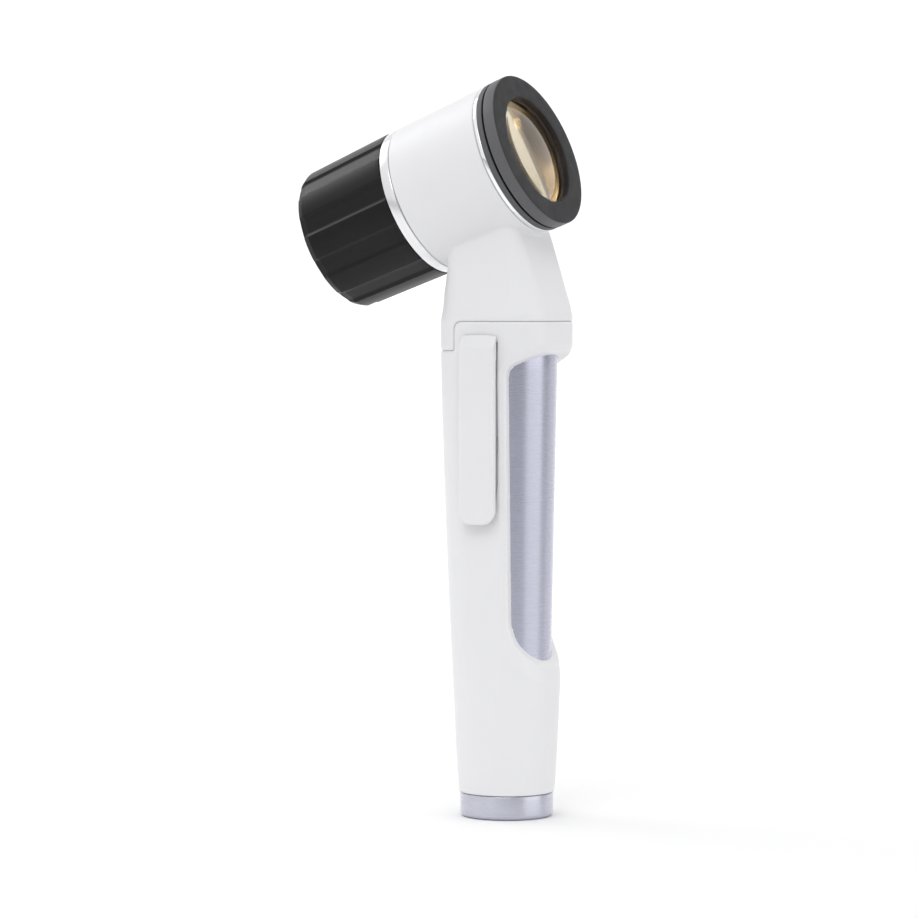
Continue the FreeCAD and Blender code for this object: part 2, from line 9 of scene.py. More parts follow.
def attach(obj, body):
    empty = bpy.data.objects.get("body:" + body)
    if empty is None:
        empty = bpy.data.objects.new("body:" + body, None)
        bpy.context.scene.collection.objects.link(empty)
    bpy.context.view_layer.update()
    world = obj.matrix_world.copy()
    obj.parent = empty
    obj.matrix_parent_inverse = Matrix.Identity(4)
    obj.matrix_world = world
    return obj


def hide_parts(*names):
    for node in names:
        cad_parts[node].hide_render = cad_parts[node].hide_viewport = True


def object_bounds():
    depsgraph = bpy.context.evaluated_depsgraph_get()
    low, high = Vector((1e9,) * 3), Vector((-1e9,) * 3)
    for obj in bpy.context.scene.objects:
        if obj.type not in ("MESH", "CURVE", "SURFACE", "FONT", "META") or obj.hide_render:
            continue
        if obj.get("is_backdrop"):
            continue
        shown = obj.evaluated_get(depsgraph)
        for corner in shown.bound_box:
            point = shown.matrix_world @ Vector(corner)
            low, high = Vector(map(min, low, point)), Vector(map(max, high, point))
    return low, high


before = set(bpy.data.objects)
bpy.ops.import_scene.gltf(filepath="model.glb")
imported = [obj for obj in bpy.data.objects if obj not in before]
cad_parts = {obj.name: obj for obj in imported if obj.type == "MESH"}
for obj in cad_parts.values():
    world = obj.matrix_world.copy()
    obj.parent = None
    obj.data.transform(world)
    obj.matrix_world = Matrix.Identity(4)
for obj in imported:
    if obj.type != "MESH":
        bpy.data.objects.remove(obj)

CAD_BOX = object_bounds()
MM = 0.001

# ------------------------------------------------------------------ frame of the head
TILT = math.radians(21.34)
HN = np.array([math.cos(TILT), 0.0, math.sin(TILT)])      # along the head axis, to the eyepiece
HK = np.array([-math.sin(TILT), 0.0, math.cos(TILT)])     # up, square to the axis
HY = np.array([0.0, -1.0, 0.0])
H0 = np.array([-1.0, 0.0, 156.86])


def head_pts(p):
    """Head coordinates (up, side, along) in mm to object coordinates in mm."""
    p = np.asarray(p, float)
    return H0 + p[..., 0:1] * HK + p[..., 1:2] * HY + p[..., 2:3] * HN


def head_vec(v):
    v = np.asarray(v, float)
    return v[..., 0:1] * HK + v[..., 1:2] * HY + v[..., 2:3] * HN


# ------------------------------------------------------------------ mesh helpers
def make_mesh(name, verts_mm, faces, material, body, normals=None, replaces=(), slot=None, sharp_deg=None):
    me = bpy.data.meshes.new(name)
    me.from_pydata((np.asarray(verts_mm, float) * MM).tolist(), [], [list(f) for f in faces])
    me.validate(clean_customdata=False)
    me.update()
    me.polygons.foreach_set("use_smooth", [True] * len(me.polygons))
    if sharp_deg is not None:
        me.set_sharp_from_angle(angle=math.radians(sharp_deg))
    if normals is not None:
        me.normals_split_custom_set_from_vertices([tuple(n) for n in np.asarray(normals, float)])
    me.update()
    ob = bpy.data.objects.new(name, me)
    bpy.context.scene.collection.objects.link(ob)
    if material is not None:
        me.materials.append(material)
    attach(ob, body)
    if replaces:
        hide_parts(*replaces)
    return ob


def arc_corner(p0, p1, p2, r, n):
    """Points that round the corner p1 with radius r."""
    p0, p1, p2 = map(np.asarray, (p0, p1, p2))
    a = p0 - p1
    b = p2 - p1
    la, lb = np.linalg.norm(a), np.linalg.norm(b)
    if r <= 0 or la < 1e-9 or lb < 1e-9:
        return [p1]
    a, b = a / la, b / lb
    cosv = float(np.clip(a @ b, -1, 1))
    ang = math.acos(cosv)
    if ang > math.pi - 0.02:
        return [p1]
    t = r / math.tan(ang / 2)
    t = min(t, 0.49 * la, 0.49 * lb)
    r = t * math.tan(ang / 2)
    bis = (a + b) / np.linalg.norm(a + b)
    c = p1 + bis * (r / math.sin(ang / 2))
    s = p1 + a * t
    e = p1 + b * t
    v0, v1 = s - c, e - c
    a0 = math.atan2(v0[1], v0[0])
    a1 = math.atan2(v1[1], v1[0])
    d = (a1 - a0 + math.pi) % (2 * math.pi) - math.pi
    return [c + r * np.array([math.cos(a0 + d * i / n), math.sin(a0 + d * i / n)]) for i in range(n + 1)]


def round_profile(pts, closed=True):
    """pts: (radius, height, corner radius). Returns the rounded outline."""
    out = []
    n = len(pts)
    for i in range(n):
        p = np.array(pts[i][:2], float)
        r = pts[i][2] if len(pts[i]) > 2 else 0.0
        if not closed and i in (0, n - 1):
            out.append(p)
            continue
        p0 = np.array(pts[(i - 1) % n][:2], float)
        p2 = np.array(pts[(i + 1) % n][:2], float)
        out.extend(arc_corner(p0, p, p2, r, 5 if r < 0.6 else 9))
    return out


def subdivide(profile, closed, longest):
    out = []
    n = len(profile)
    last = n if closed else n - 1
    for i in range(last):
        a, b = profile[i], profile[(i + 1) % n]
        k = max(1, int(math.ceil(np.linalg.norm(b - a) / longest)))
        for j in range(k):
            out.append(a + (b - a) * j / k)
    if not closed:
        out.append(profile[-1])
    return out


def lathe(name, pts, material, body, head=True, seg=192, closed=True, longest=3.0, radial=None, sharp=32, thetas=None, **kw):
    """Turned piece from a rounded profile. radial(r, theta, s) may modulate the radius."""
    prof = subdivide(round_profile(pts, closed), closed, longest)
    keep = [prof[0]]
    for p in prof[1:]:
        if np.linalg.norm(p - keep[-1]) > 1e-4:
            keep.append(p)
    if closed and np.linalg.norm(keep[0] - keep[-1]) < 1e-4:
        keep.pop()
    prof = keep
    m = len(prof)
    th = np.arange(seg) * 2 * math.pi / seg if thetas is None else np.asarray(thetas, float)
    seg = len(th)
    verts = []
    ring_of = []
    for p in prof:
        if p[0] < 1e-5:
            ring_of.append((len(verts), 1))
            verts.append((0.0, 0.0, p[1]))
        else:
            ring_of.append((len(verts), seg))
            for t in th:
                r, s = p[0], p[1]
                if radial is not None:
                    r, s = radial(r, t, s)
                verts.append((r * math.cos(t), r * math.sin(t), s))
    faces = []
    cnt = m if closed else m - 1
    for i in range(cnt):
        (b0, n0), (b1, n1) = ring_of[i], ring_of[(i + 1) % m]
        for j in range(seg):
            k = (j + 1) % seg
            if n0 == 1 and n1 == 1:
                continue
            if n0 == 1:
                f = (b0, b1 + j, b1 + k)
            elif n1 == 1:
                f = (b0 + j, b1, b0 + k)
            else:
                f = (b0 + j, b1 + j, b1 + k, b0 + k)
            faces.append(f)
    verts = np.array(verts)
    # outward facing: sign of the profile's area
    area = 0.0
    for i in range(m):
        a, b = prof[i], prof[(i + 1) % m]
        area += a[0] * b[1] - b[0] * a[1]
    if area > 0:
        faces = [tuple(reversed(f)) for f in faces]
    if head:
        verts = head_pts(verts)
        # (up, side, along) is right handed, so the winding is kept
    return make_mesh(name, verts, faces, material, body, sharp_deg=sharp, **kw)


# ------------------------------------------------------------------ surface of a distance field
def surface_net(fn, lo, hi, h, to_world=None, vec_world=None, newton=3, name="net"):
    """Quad mesh of fn = 0 (negative inside), on a grid of step h, then moved onto the surface itself."""
    lo = np.array(lo, float)
    n = np.ceil((np.array(hi, float) - lo) / h).astype(int) + 1
    ax = [lo[i] + h * np.arange(n[i]) for i in range(3)]
    val = np.empty(tuple(n), np.float32)
    step = max(1, int(2_000_000 // (n[1] * n[2])))
    for i in range(0, n[0], step):
        X, Y, Z = np.meshgrid(ax[0][i:i + step], ax[1], ax[2], indexing="ij")
        val[i:i + step] = fn(X, Y, Z)
    val[np.abs(val) < 1e-6] = 1e-6
    ins = val < 0
    cell = np.zeros(tuple(n - 1), bool)
    cnt = np.zeros(tuple(n - 1), np.uint8)
    for dx in (0, 1):
        for dy in (0, 1):
            for dz in (0, 1):
                cnt += ins[dx:n[0] - 1 + dx, dy:n[1] - 1 + dy, dz:n[2] - 1 + dz]
    cell = (cnt > 0) & (cnt < 8)
    idx = np.full(cell.shape, -1, np.int64)
    ci = np.argwhere(cell)
    idx[cell] = np.arange(len(ci))
    acc = np.zeros((len(ci), 3))
    num = np.zeros(len(ci))
    corners = [(a, b, c) for a in (0, 1) for b in (0, 1) for c in (0, 1)]
    for a in corners:
        for ax_i in range(3):
            if a[ax_i]:
                continue
            b = list(a)
            b[ax_i] = 1
            va = val[ci[:, 0] + a[0], ci[:, 1] + a[1], ci[:, 2] + a[2]]
            vb = val[ci[:, 0] + b[0], ci[:, 1] + b[1], ci[:, 2] + b[2]]
            cross = (va < 0) != (vb < 0)
            t = np.where(cross, va / np.where(cross, va - vb, 1.0), 0.0)
            p = np.array(a, float)[None, :] + 0.0 * acc
            p[:, ax_i] = t
            acc[cross] += p[cross]
            num[cross] += 1
    pts = lo + h * (ci + acc / num[:, None])

    def val_at(p):
        return fn(p[:, 0], p[:, 1], p[:, 2]).astype(float)

    def grad_at(p, e):
        g = np.empty_like(p)
        for k in range(3):
            d = np.zeros(3)
            d[k] = e
            g[:, k] = (val_at(p + d) - val_at(p - d)) / (2 * e)
        return g

    for _ in range(newton):
        g = grad_at(pts, 0.02)
        gg = np.maximum((g * g).sum(1), 0.15)
        mv = -(val_at(pts) / gg)[:, None] * g
        ln = np.linalg.norm(mv, axis=1)
        cap = 0.6 * h
        mv *= np.minimum(1.0, cap / np.maximum(ln, 1e-9))[:, None]
        pts = pts + mv
    g = grad_at(pts, 0.05)
    nrm = g / np.maximum(np.linalg.norm(g, axis=1), 1e-9)[:, None]
    faces = []
    for axis in range(3):
        o1, o2 = [(1, 2), (2, 0), (0, 1)][axis]
        sl_a = [slice(None)] * 3
        sl_b = [slice(None)] * 3
        sl_a[axis] = slice(0, n[axis] - 1)
        sl_b[axis] = slice(1, n[axis])
        for o in (o1, o2):
            sl_a[o] = slice(1, n[o] - 1)
            sl_b[o] = slice(1, n[o] - 1)
        A = ins[tuple(sl_a)]
        B = ins[tuple(sl_b)]
        for flip, mask in ((False, A & ~B), (True, ~A & B)):
            e = np.argwhere(mask)
            if not len(e):
                continue
            base = e.copy()
            base[:, o1] += 1
            base[:, o2] += 1
            quad = []
            for d1, d2 in ((-1, -1), (0, -1), (0, 0), (-1, 0)):
                c = base.copy()
                c[:, o1] += d1
                c[:, o2] += d2
                quad.append(idx[c[:, 0], c[:, 1], c[:, 2]])
            q = np.stack(quad, 1)
            if flip:
                q = q[:, ::-1]
            faces.append(q)
    faces = np.concatenate(faces, 0)
    faces = faces[(faces >= 0).all(1)]
    if to_world is not None:
        pts = to_world(pts)
        nrm = vec_world(nrm)
    return pts, faces, nrm


def smax(a, b, k):
    h = np.clip(0.5 + 0.5 * (a - b) / k, 0, 1)
    return b + (a - b) * h + k * h * (1 - h)


def smin(a, b, k):
    return -smax(-a, -b, k)


def interp_sections(sections):
    """Smooth functions of height for each column of a section table."""
    t = np.array(sections, float)
    z = t[:, 0]
    m = np.empty_like(t[:, 1:])
    for i in range(len(z)):
        a, b = max(i - 1, 0), min(i + 1, len(z) - 1)
        m[i] = (t[b, 1:] - t[a, 1:]) / (z[b] - z[a])

    def at(q):
        q = np.clip(q, z[0], z[-1])
        i = np.clip(np.searchsorted(z, q, side="right") - 1, 0, len(z) - 2)
        hh = z[i + 1] - z[i]
        u = (q - z[i]) / hh
        out = []
        for c in range(t.shape[1] - 1):
            p1, p2 = t[i, c + 1], t[i + 1, c + 1]
            m1, m2 = m[i, c] * hh, m[i + 1, c] * hh
            out.append((2 * u ** 3 - 3 * u ** 2 + 1) * p1 + (u ** 3 - 2 * u ** 2 + u) * m1
                       + (-2 * u ** 3 + 3 * u ** 2) * p2 + (u ** 3 - u ** 2) * m2)
        return out
    return at


def sd_rrect(x, y, cx, a, b, r):
    qx = np.abs(x - cx) - (a - r)
    qy = np.abs(y) - (b - r)
    return np.hypot(np.maximum(qx, 0), np.maximum(qy, 0)) + np.minimum(np.maximum(qx, qy), 0) - r


def sd_box(x, y, z, x0, x1, y0, y1, z0, z1, r=0.0):
    qx = np.abs(x - (x0 + x1) / 2) - ((x1 - x0) / 2 - r)
    qy = np.abs(y - (y0 + y1) / 2) - ((y1 - y0) / 2 - r)
    qz = np.abs(z - (z0 + z1) / 2) - ((z1 - z0) / 2 - r)
    out = np.sqrt(np.maximum(qx, 0) ** 2 + np.maximum(qy, 0) ** 2 + np.maximum(qz, 0) ** 2)
    return out + np.minimum(np.maximum(qx, np.maximum(qy, qz)), 0) - r


def sd_polygon(x, z, pts):
    """Signed distance to a closed polygon in a plane, negative inside."""
    p = np.array(pts, float)
    d = np.full(np.shape(x), 1e9)
    sgn = np.ones(np.shape(x))
    n = len(p)
    for i in range(n):
        j = (i - 1) % n
        ex, ez = p[j, 0] - p[i, 0], p[j, 1] - p[i, 1]
        wx, wz = x - p[i, 0], z - p[i, 1]
        t = np.clip((wx * ex + wz * ez) / (ex * ex + ez * ez), 0, 1)
        bx, bz = wx - ex * t, wz - ez * t
        d = np.minimum(d, bx * bx + bz * bz)
        c1 = z >= p[i, 1]
        c2 = z < p[j, 1]
        c3 = ex * wz > ez * wx
        flip = (c1 & c2 & c3) | (~c1 & ~c2 & ~c3)
        sgn = np.where(flip, -sgn, sgn)
    return sgn * np.sqrt(d)


# ------------------------------------------------------------------ the object's sections (mm)
SHELL_SECTIONS = [
    (5.9, 11.42, 11.42, 11.15),
    (17.0, 11.98, 11.58, 10.85),
    (34.7, 12.62, 11.84, 10.35),
    (52.0, 13.30, 12.06, 9.90),
    (69.5, 13.72, 12.28, 9.30),
    (87.0, 14.12, 12.52, 8.80),
    (104.0, 14.33, 12.78, 8.30),
    (119.4, 14.30, 12.98, 8.00),
]
NECK_SECTIONS = [
    (119.4, -14.30, 14.30, 12.98, 8.00),
    (121.0, -14.00, 14.20, 12.80, 7.80),
    (123.0, -13.66, 13.72, 12.45, 7.40),
    (125.5, -13.34, 12.86, 11.98, 6.60),
    (128.5, -12.80, 11.80, 11.42, 5.60),
    (132.0, -12.25, 10.58, 10.90, 4.60),
    (137.0, -11.60, 8.80, 10.50, 3.60),
    (146.0, -11.20, 5.60, 10.30, 3.20),
]
WINDOW = [(20.0, 114.9), (14.2, 112.3), (12.0, 111.3), (11.3, 110.95), (9.1, 109.9),
          (7.25, 108.85), (6.25, 107.6), (5.95, 106.2),
          (5.95, 48.4), (6.15, 46.4), (6.75, 43.9), (7.55, 42.0), (8.55, 40.5),
          (10.0, 38.7), (10.9, 37.8), (13.0, 35.5), (20.0, 28.0)]
SEAM = 119.4
TAB_X, TAB_Z, GAP = -7.7, 112.35, 0.12
SOCKET_R, SOCKET_Z, SPIGOT_R, SPIGOT_Z = 11.0, 112.3, 10.93, 112.6


def tube_r(z):
    return 10.95 + (z - 50.0) * 0.0202


shell_at = interp_sections(SHELL_SECTIONS)
neck_at = interp_sections(NECK_SECTIONS)


def sd_shell_outer(x, y, z):
    a, b, r = shell_at(z)
    return sd_rrect(x, y, 0.0, a, b, r)


def sd_neck_outer(x, y, z):
    x0, x1, b, r = neck_at(z)
    return sd_rrect(x, y, (x0 + x1) / 2, (x1 - x0) / 2, b, r)


def tab_step(x, z, gap):
    """Parting line between handle and head: level at the seam, stepping down round the front tab (negative = head side)."""
    above = (SEAM + gap) - z
    tab = smax(x - (TAB_X - gap), (TAB_Z + gap) - z, 0.7)
    return smin(above, tab, 2.3)


def sd_handle_shell(x, y, z):
    d = sd_shell_outer(x, y, z)
    # long window that bares the tube, with a bevelled lip all round it
    w = sd_polygon(x, z, WINDOW)
    wide = 1.5 + 0.9 * np.clip((46.0 - z) / 8.0, 0, 1)
    d = smax(d, d + 0.62 * (1.0 - np.clip(w, 0, 6) / wide), 0.10)
    # the turned lower end has a small radius, the upper end meets the head in a soft line
    d = smax(d, 5.9 - z, 0.5)
    d = smax(d, -tab_step(x, z, 0.0) + 0.006, 0.62)
    d = smax(d, -w, 0.42)
    # bore for the tube and socket for the head plug
    rho = np.hypot(x, y)
    bore = np.maximum(rho - (tube_r(z) - 0.17), z - 111.5)
    d = smax(d, -bore, 0.05)
    sock = np.maximum(rho - SOCKET_R, SOCKET_Z - z)
    d = smax(d, -sock, 0.12)
    d = smax(d, -np.maximum(rho - 6.2, np.maximum(110.5 - z, z - 113.3)), 0.1)
    # shallow bed below the clip blade
    bed = np.maximum(np.abs(x + 0.61) - 4.58 + 0.7 * np.clip((82.0 - z) / 6.0, 0, 1), np.maximum(74.5 - z, z - 114.6))
    d = smax(d, -np.maximum(bed, np.maximum(-(sd_shell_outer(x, y, z) + 0.55), y + 8.0)), 0.12)
    # hinge lug, flex groove and switch pocket under the clip
    lug = np.minimum(np.hypot(y + 14.1, z - 112.2) - 0.95, sd_box(x * 0, y, z, -1, 1, -14.1, -12.3, 111.25, 113.15))
    lug = np.maximum(lug, np.abs(x) - 2.6)
    lug = np.maximum(lug, -np.maximum(np.hypot(y + 14.1, z - 112.2) - 1.0, np.abs(x) - 1.1))
    lug = np.maximum(lug, -(np.hypot(y + 14.1, z - 112.2) - 0.47))
    d = smax(d, -sd_box(x, y, z, -2.1, 0.9, -14.5, -12.38, 92.0, 111.1), 0.1)
    d = smax(d, -np.maximum(np.hypot(x + 0.6, z - 92.0) - 3.2, np.maximum(y + 12.25, -14 - y)), 0.1)
    return np.minimum(d, lug)


def head_local(x, y, z):
    dx, dz = x - H0[0], z - H0[2]
    s = dx * HN[0] + dz * HN[2]
    k = dx * HK[0] + dz * HK[2]
    return k, -y, s


def body_radius(s):
    return np.interp(s, [-20.9, -12.0, -4.0, 2.6, 4.15], [18.6, 18.68, 18.82, 18.98, 18.98])


def sd_head_body_local(u, v, s):
    """u up, v towards -Y, s along the head axis."""
    x = H0[0] + u * HK[0] + s * HN[0]
    z = H0[2] + u * HK[2] + s * HN[2]
    y = -v
    rho = np.hypot(u, v)
    cylinder = rho - body_radius(s)
    neck = sd_neck_outer(x, y, np.maximum(z, SEAM))
    neck = np.maximum(neck, z - 146.0)
    shell = sd_shell_outer(x, y, np.minimum(z, SEAM))
    stem = np.where(z >= SEAM, neck, shell)
    # everything above the parting line, plus the front tab below it
    stem = smax(stem, tab_step(x, z, 0.006), 0.62)
    stem = smax(stem, z - 146.0, 0.2)
    plug = smax(np.hypot(x, y) - SPIGOT_R, SPIGOT_Z - z, 0.5)
    plug = np.maximum(plug, z - 121.0)
    stem = np.minimum(stem, plug)
    cylinder = smax(cylinder, -20.9 - s, 0.45)
    cylinder = smax(cylinder, s - 4.15, 0.45)
    d = smin(cylinder, stem, 0.45)
    # the blend stays clear of the rings at both ends
    d = smax(d, -20.9 - s - 1.5 * np.maximum(0.0, -20.0 - u), 0.45)
    d = smax(d, s - 4.15, 0.45)
    # bores
    bore = np.where(s < -16.0, rho - 15.75, rho - 17.2)
    d = smax(d, -bore, 0.2)
    rho_z = np.hypot(x, y)
    d = smax(d, -np.maximum(rho_z - 8.9, np.maximum(111 - z, z - 119.0)), 0.15)
    return d



# ------------------------------------------------------------------ materials
class Mat:
    """Small helper around a node material."""

    def __init__(self, name):
        self.m = bpy.data.materials.new(name)
        self.m.use_nodes = True
        self.t = self.m.node_tree
        self.t.nodes.clear()
        self.out = self.t.nodes.new("ShaderNodeOutputMaterial")
        self.b = self.t.nodes.new("ShaderNodeBsdfPrincipled")
        self.t.links.new(self.b.outputs[0], self.out.inputs[0])
        self.co = self.t.nodes.new("ShaderNodeTexCoord").outputs["Object"]

    def n(self, kind, **kw):
        nd = self.t.nodes.new(kind)
        for k, v in kw.items():
            setattr(nd, k, v)
        return nd

    def link(self, a, b):
        self.t.links.new(a, b)

    def set(self, **kw):
        for k, v in kw.items():
            self.b.inputs[k.replace("_", " ")].default_value = v
        return self

    def noise(self, scale, detail=2.0, rough=0.5, vec=None, stretch=None, dims="3D"):
        v = vec if vec is not None else self.co
        if stretch is not None:
            mp = self.n("ShaderNodeMapping")
            mp.inputs["Scale"].default_value = stretch
            self.link(v, mp.inputs["Vector"])
            v = mp.outputs[0]
        nz = self.n("ShaderNodeTexNoise", noise_dimensions=dims)
        nz.inputs["Scale"].default_value = scale
        nz.inputs["Detail"].default_value = detail
        nz.inputs["Roughness"].default_value = rough
        self.link(v, nz.inputs["Vector"])
        return nz.outputs["Fac"]

    def along(self, axis):
        """Position along a direction, as a scalar."""
        d = self.n("ShaderNodeVectorMath", operation="DOT_PRODUCT")
        self.link(self.co, d.inputs[0])
        d.inputs[1].default_value = tuple(float(a) for a in axis)
        return d.outputs["Value"]

    def lines(self, axis, scale, detail=4.0, rough=0.6):
        """Noise that varies along one direction only, like the marks of a lathe tool."""
        nz = self.n("ShaderNodeTexNoise", noise_dimensions="1D")
        nz.inputs["Scale"].default_value = scale
        nz.inputs["Detail"].default_value = detail
        nz.inputs["Roughness"].default_value = rough
        self.link(self.along(axis), nz.inputs["W"])
        return nz.outputs["Fac"]

    def rng(self, fac, a0, a1, b0, b1):
        r = self.n("ShaderNodeMapRange")
        r.inputs["From Min"].default_value = a0
        r.inputs["From Max"].default_value = a1
        r.inputs["To Min"].default_value = b0
        r.inputs["To Max"].default_value = b1
        self.link(fac, r.inputs["Value"])
        return r.outputs[0]

    def mixcol(self, fac, a, b):
        m = self.n("ShaderNodeMix", data_type="RGBA")
        self.link(fac, m.inputs["Factor"])
        m.inputs[6].default_value = (*a, 1)
        m.inputs[7].default_value = (*b, 1)
        return m.outputs[2]

    def math(self, op, a, b):
        m = self.n("ShaderNodeMath", operation=op)
        for i, v in enumerate((a, b)):
            if isinstance(v, (int, float)):
                m.inputs[i].default_value = v
            else:
                self.link(v, m.inputs[i])
        return m.outputs[0]

    def bump(self, fac, strength, distance, prev=None):
        bp = self.n("ShaderNodeBump")
        bp.inputs["Strength"].default_value = strength
        bp.inputs["Distance"].default_value = distance
        self.link(fac, bp.inputs["Height"])
        if prev is not None:
            self.link(prev, bp.inputs["Normal"])
        return bp.outputs[0]

    def base(self, sock):
        self.link(sock, self.b.inputs["Base Color"])

    def rough(self, sock):
        self.link(sock, self.b.inputs["Roughness"])

    def normal(self, sock):
        self.link(sock, self.b.inputs["Normal"])


def moulded(name, c0, c1, r0, r1, grain=2600.0, grain_depth=0.000006, ior=1.49, coat=0.0, cloud=45.0):
    """Moulded plastic: slight flow clouding in the colour, fine spark-eroded grain in bump and roughness."""
    m = Mat(name)
    m.set(IOR=ior)
    if coat:
        m.set(Coat_Weight=coat, Coat_Roughness=0.12)
    m.base(m.mixcol(m.rng(m.noise(cloud, 3.0, 0.55), 0.3, 0.7, 0, 1), c0, c1))
    fine = m.noise(grain, 2.0, 0.6)
    m.rough(m.rng(m.noise(cloud * 7, 3.0), 0.3, 0.7, r0, r1))
    m.normal(m.bump(fine, 0.55, grain_depth))
    return m


def turned(name, c0, c1, r0, r1, axis=(0, 0, 1), pitch=9000.0, depth=0.000004, aniso=0.0, tangent=None, patch=130.0):
    """Turned metal: tool marks round the axis, with slow variation of tint and gloss."""
    m = Mat(name)
    m.set(Metallic=1.0)
    ln = m.lines(axis, pitch, 2.0, 0.6)
    wide = m.lines(axis, pitch / 5.0, 2.0, 0.5)
    both = m.math("ADD", m.math("MULTIPLY", ln, 0.8), m.math("MULTIPLY", wide, 0.2))
    m.base(m.mixcol(m.rng(both, 0.3, 0.7, 0, 1), c0, c1))
    m.rough(m.rng(m.math("ADD", m.math("MULTIPLY", both, 0.6), m.math("MULTIPLY", m.noise(patch, 2.0), 0.4)), 0.3, 0.7, r0, r1))
    m.normal(m.bump(both, 0.6, depth))
    if aniso:
        m.set(Anisotropic=aniso, Anisotropic_Rotation=0.25)
        tg = m.n("ShaderNodeTangent", direction_type="RADIAL", axis=tangent or "Z")
        m.link(tg.outputs[0], m.b.inputs["Tangent"])
    return m


white = moulded("white_satin_plastic", (0.79, 0.79, 0.80), (0.775, 0.775, 0.786), 0.34, 0.46, grain=2600.0, grain_depth=0.000005)
white.set(Subsurface_Weight=0.06, Subsurface_Scale=0.0016)
white.b.inputs["Subsurface Radius"].default_value = (1.0, 1.0, 1.0)
tube_mat = turned("brushed_aluminium", (0.530, 0.538, 0.636), (0.488, 0.496, 0.590), 0.235, 0.305, pitch=5200.0, depth=0.000001, aniso=0.82)
cap_mat = turned("cap_aluminium", (0.60, 0.606, 0.69), (0.545, 0.55, 0.63), 0.24, 0.32, pitch=5200.0, depth=0.000001, aniso=0.85)
ring_mat = turned("ring_aluminium", (0.88, 0.88, 0.895), (0.79, 0.79, 0.815), 0.16, 0.28, axis=HN, pitch=7000.0, depth=0.000003)
trim_mat = turned("polished_trim", (0.95, 0.95, 0.958), (0.91, 0.91, 0.925), 0.05, 0.12, axis=HN, pitch=4000.0, depth=0.000001)
black_ring = moulded("black_matte_ring", (0.021, 0.021, 0.023), (0.017, 0.017, 0.019), 0.44, 0.56, grain=3800.0, grain_depth=0.000008)
black_ring.set(Specular_IOR_Level=0.28)
# the rim of the ring gets a lighter grey base colour than its flat face: painted light standing in for the brighter
# lit side of the ring
crs = black_ring.n("ShaderNodeVectorMath", operation="CROSS_PRODUCT")
black_ring.link(black_ring.co, crs.inputs[0])
crs.inputs[1].default_value = tuple(float(a) for a in HN)
off = black_ring.n("ShaderNodeVectorMath", operation="SUBTRACT")
black_ring.link(crs.outputs[0], off.inputs[0])
off.inputs[1].default_value = tuple(float(a) for a in np.cross(np.array(H0) / 1000.0, np.array(HN)))
rad_ = black_ring.n("ShaderNodeVectorMath", operation="LENGTH")
black_ring.link(off.outputs[0], rad_.inputs[0])
rim_painted_light_mask = black_ring.math("MULTIPLY", black_ring.rng(rad_.outputs["Value"], 0.01885, 0.01902, 0.0, 1.0), black_ring.rng(black_ring.noise(5200.0, 2.0, 0.7), 0.3, 0.7, 0.65, 1.0))
old_ = black_ring.b.inputs["Base Color"].links[0].from_socket
rim_painted_light_mix = black_ring.n("ShaderNodeMix", data_type="RGBA")
black_ring.link(rim_painted_light_mask, rim_painted_light_mix.inputs["Factor"])
black_ring.link(old_, rim_painted_light_mix.inputs[6])
# painted light: lighter grey base colour on the rim of the ring
rim_painted_light_mix.inputs[7].default_value = (0.135, 0.135, 0.139, 1)
black_ring.base(rim_painted_light_mix.outputs[2])
barrel_mat = moulded("black_satin_barrel", (0.0022, 0.0022, 0.0025), (0.0032, 0.0032, 0.0035), 0.32, 0.38, grain=3400.0, grain_depth=0.000001, cloud=420.0)
barrel_mat.set(Specular_IOR_Level=0.27)
inner_black = moulded("anti_reflection_black", (0.020, 0.019, 0.019), (0.028, 0.027, 0.026), 0.42, 0.6, grain=3000.0, grain_depth=0.00001)

glass = Mat("lens_glass")
glass.set(Transmission_Weight=1.0, IOR=1.52)
glass.base(glass.mixcol(glass.rng(glass.noise(60.0, 1.0), 0.3, 0.7, 0, 1), (0.98, 0.88, 0.68), (0.97, 0.86, 0.65)))
glass.rough(glass.rng(glass.noise(900.0, 3.0), 0.55, 0.8, 0.0, 0.012))

plate_glass = Mat("contact_glass")
plate_glass.set(Transmission_Weight=1.0, IOR=1.5)
plate_glass.base(plate_glass.mixcol(plate_glass.rng(plate_glass.noise(80.0, 1.0), 0.3, 0.7, 0, 1), (0.98, 0.985, 0.98), (0.96, 0.97, 0.965)))
plate_glass.rough(plate_glass.rng(plate_glass.noise(700.0, 3.0), 0.55, 0.8, 0.0, 0.02))

lamp = Mat("warm_lamp")
lamp.set(Transmission_Weight=0.2, IOR=1.5, Roughness=0.2)
lamp.base(lamp.mixcol(lamp.noise(400.0, 1.0), (1.0, 0.9, 0.7), (1.0, 0.94, 0.8)))
lamp.b.inputs["Emission Color"].default_value = (1.0, 0.80, 0.50, 1)
lamp.b.inputs["Emission Strength"].default_value = 24.0

reflector = Mat("tube_inner_satin")
reflector.set(Metallic=0.55)
reflector.base(reflector.mixcol(reflector.rng(reflector.lines(HN, 2600.0), 0.3, 0.7, 0, 1), (0.30, 0.27, 0.25), (0.42, 0.38, 0.34)))
reflector.rough(reflector.rng(reflector.noise(500.0, 2.0), 0.3, 0.7, 0.30, 0.45))
reflector.normal(reflector.bump(reflector.lines(HN, 2600.0), 0.5, 0.00002))

